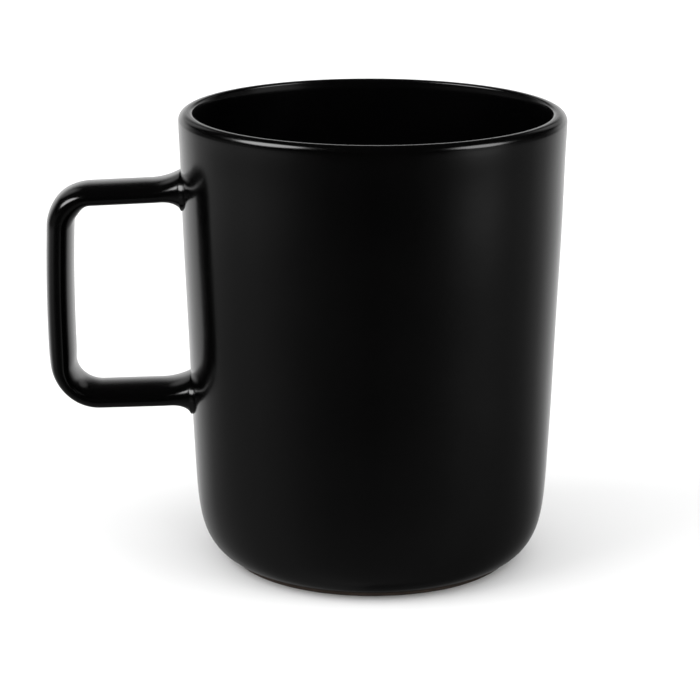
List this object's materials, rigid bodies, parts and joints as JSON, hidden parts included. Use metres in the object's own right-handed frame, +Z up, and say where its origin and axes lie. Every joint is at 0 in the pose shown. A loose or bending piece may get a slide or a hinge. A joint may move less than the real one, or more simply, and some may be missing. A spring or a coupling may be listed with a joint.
{
  "type": "ceramic mug",
  "caption": "Straight-sided stoneware mug with a rounded base, a squared strap handle on one side, a satin black glaze outside and a gloss black liner.",
  "frame": {"origin": "on the cup's axis, in the plane of the bare foot ring that the mug rests on", "axes": "+Z up along the cup's axis, the handle points along -X, and the X-Z plane is the mirror plane"},
  "size_m": [0.1161, 0.086, 0.1024],
  "materials": {
    "bare_clay": "unglazed dark stoneware, matte",
    "satin_glaze": "satin black glaze",
    "gloss_glaze": "gloss black glaze"
  },
  "bodies": {
    "root": {"cup_body": "bare_clay", "handle": "bare_clay", "handle_joint_upper": "bare_clay", "handle_joint_lower": "bare_clay", "outer_glaze": "satin_glaze", "liner_glaze": "gloss_glaze", "base_glaze": "satin_glaze"}
  },
  "joints": []
}
